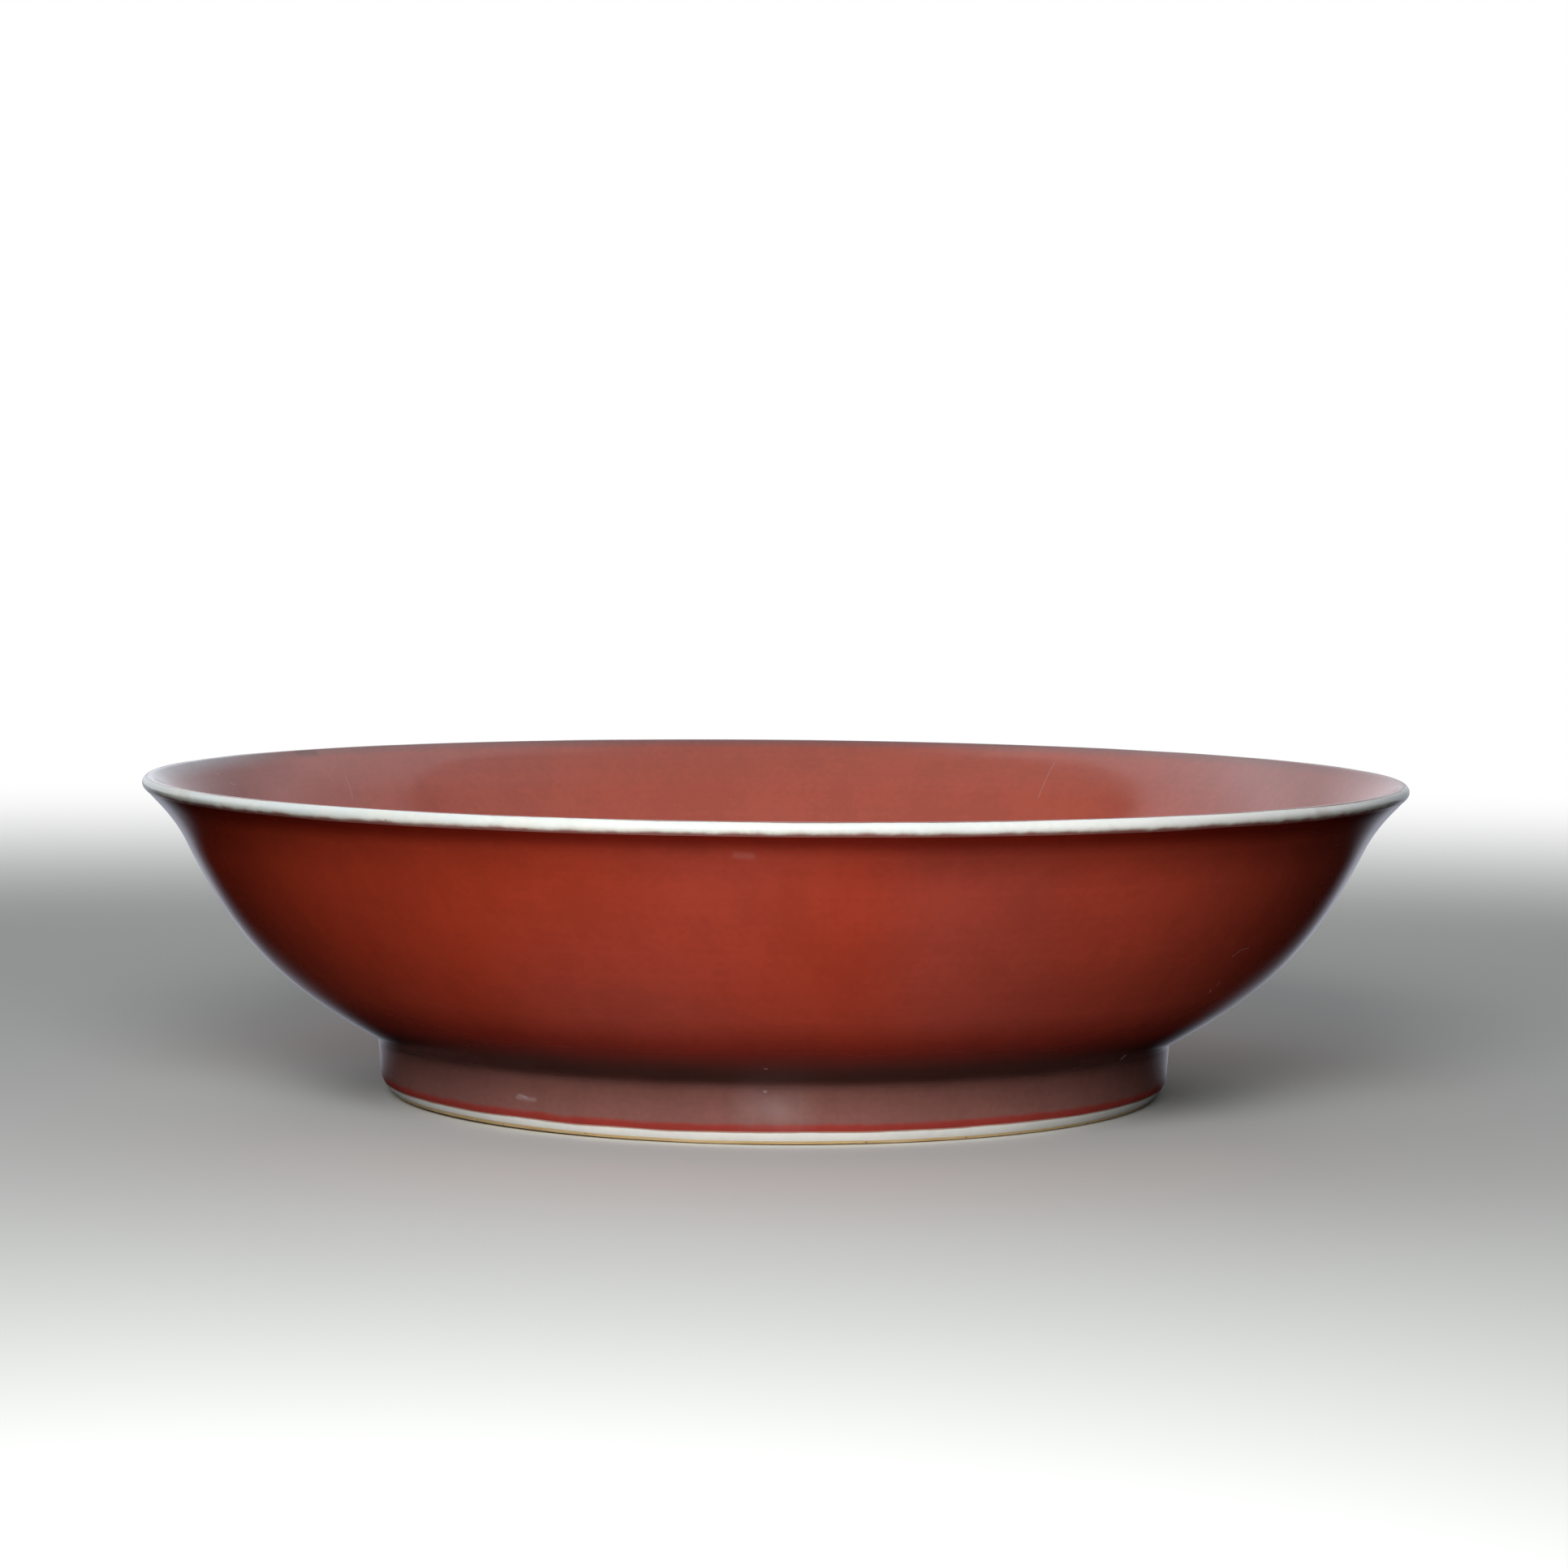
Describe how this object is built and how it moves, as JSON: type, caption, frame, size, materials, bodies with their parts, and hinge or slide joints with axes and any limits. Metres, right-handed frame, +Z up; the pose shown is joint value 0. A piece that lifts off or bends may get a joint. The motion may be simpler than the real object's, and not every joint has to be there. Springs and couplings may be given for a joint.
{
  "type": "saucer dish",
  "caption": "Deep round porcelain dish with red glaze inside and out, a white band round its turned-out lip, and a foot ring under a recessed base.",
  "frame": {"origin": "on the table, under the middle of the foot ring", "axes": "+Z up along the axis that the dish is turned about; X and Y lie in the plane of the table"},
  "size_m": [0.21, 0.21, 0.0527],
  "materials": {
    "biscuit": "fired porcelain clay, bare and burnt tan on the foot's rest",
    "red_glaze": "glossy copper-red glaze",
    "white_glaze": "glossy white glaze"
  },
  "bodies": {
    "root": {"bowl": "biscuit", "foot_ring": "biscuit", "inner_red_glaze": "red_glaze", "outer_red_glaze": "red_glaze", "rim_white_glaze": "white_glaze", "foot_white_glaze": "white_glaze", "base_white_glaze": "white_glaze"}
  },
  "joints": []
}
